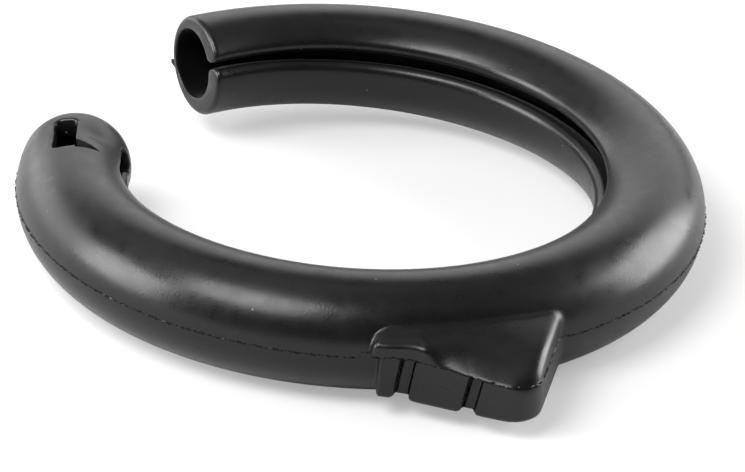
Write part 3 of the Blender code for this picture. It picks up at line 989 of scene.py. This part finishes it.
def flash_material():
    """The flash's finish: dull, with painted shade (a colour blacker than the skin) and painted glints
    (pale bits).
    """
    material = bpy.data.materials.new("flash_painted_shade_and_glints")
    shader = Shader(material)
    # Painted glints: pale bits where the noise is high, standing for light caught on the flash's nicks
    glint_mask = shader.noise(flash_glint_scale, 2.0) > flash_glint_level
    # Painted shade: the flash's base colour is blacker than the skin, standing for the shadow along the
    # thin fin
    colour = shader.mixed(glint_mask, flash_painted_shade_colour, flash_painted_glint_colour)
    finish = shader.node(
        "ShaderNodeBsdfPrincipled",
        None,
        {"Base Color": colour, "Roughness": 0.55, "IOR": 1.25},
    )
    shader.node("ShaderNodeOutputMaterial", None, {"Surface": finish.out("BSDF")})
    return material


def floor_material():
    """Pale floor: matt, and a little brighter to the camera, so that it runs into the white behind."""
    material = bpy.data.materials.new("pale_floor")
    shader = Shader(material)
    camera_ray = shader.node("ShaderNodeLightPath").out("Is Camera Ray")
    matt = shader.node("ShaderNodeBsdfDiffuse", None, {"Color": floor_colour})
    glow = shader.node("ShaderNodeEmission", None, {"Color": white, "Strength": camera_ray * floor_glow})
    both = shader.node("ShaderNodeAddShader", None, {0: matt.out(), 1: glow.out()})
    shader.node("ShaderNodeOutputMaterial", None, {"Surface": both.out()})
    return material


def make_floor():
    """A flat square under the sleeve."""
    half = floor_half_width
    corners = np.array([[-half, -half, 0.0], [half, -half, 0.0], [half, half, 0.0], [-half, half, 0.0]])
    floor = mesh_object("floor", corners, [np.arange(4)[None, :]])
    floor.data.materials.append(floor_material())


def make_camera():
    """The camera at the photograph's place, turned with the ring into the frame."""
    turn = Matrix.Rotation(np.radians(camera_turn), 3, "Z")
    height = np.radians(camera_height_angle)
    back = Vector((0, -np.cos(height), np.sin(height)))
    right = Vector((1, 0, 0))
    over = back.cross(right)
    roll = np.radians(camera_roll)
    rolled_right = right * np.cos(roll) + over * np.sin(roll)
    rolled_over = over * np.cos(roll) - right * np.sin(roll)
    look = Vector(camera_look)
    lean = Matrix(lean_matrix().tolist())
    centre = Vector(ring_centre)
    spot = lean @ (turn @ (look + back * camera_distance)) + centre
    axes = lean @ turn
    facing = Matrix((axes @ rolled_right, axes @ rolled_over, axes @ back)).transposed()
    camera = bpy.data.objects.new("camera", bpy.data.cameras.new("camera"))
    camera.data.sensor_width = sensor_width
    camera.data.lens = focal_pixels * sensor_width / image_width
    camera.data.clip_start, camera.data.clip_end = camera_clip
    camera.matrix_world = Matrix.Translation(spot * MM) @ facing.to_4x4()
    bpy.context.scene.collection.objects.link(camera)
    bpy.context.scene.camera = camera


def make_lamp(name, side_angle, height_angle, distance, size, brightness):
    """A soft box aimed at the sleeve, as bright as a white surface times its brightness."""
    side = np.radians(side_angle + camera_turn)
    height = np.radians(height_angle)
    away = Vector((np.sin(side) * np.cos(height), -np.cos(side) * np.cos(height), np.sin(height)))
    light = bpy.data.lights.new(name, "AREA")
    light.shape = "RECTANGLE"
    light.size, light.size_y = size
    light.energy = brightness * np.pi * size[0] * size[1]
    lamp = bpy.data.objects.new(name, light)
    lamp.location = away * distance
    lamp.rotation_euler = away.to_track_quat("Z", "Y").to_euler()
    bpy.context.scene.collection.objects.link(lamp)


def make_world():
    """Soft light all round, white where the camera looks straight at it."""
    world = bpy.data.worlds.new("studio")
    bpy.context.scene.world = world
    shader = Shader(world)
    camera_ray = shader.node("ShaderNodeLightPath").out("Is Camera Ray")
    strength = surround_light + camera_ray * (1.0 - surround_light)
    light = shader.node("ShaderNodeBackground", None, {"Color": white, "Strength": strength})
    shader.node("ShaderNodeOutputWorld", None, {"Surface": light.out()})


def main():
    """Makes the sleeve, its flash and the studio round them."""
    skin = make_skin()
    cut_windows(skin)
    skin.data.shade_smooth()
    skin.data.set_sharp_from_angle(angle=np.radians(sharp_edge_angle))
    skin.data.materials.clear()
    skin.data.materials.append(rubber_material())
    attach(skin, "root")
    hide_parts(NODE)
    flash = make_flash()
    flash.data.materials.append(flash_material())
    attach(flash, "root")
    make_floor()
    make_camera()
    make_world()
    for lamp in lamps:
        make_lamp(*lamp)
    bpy.context.scene.view_settings.view_transform = "Standard"


main()
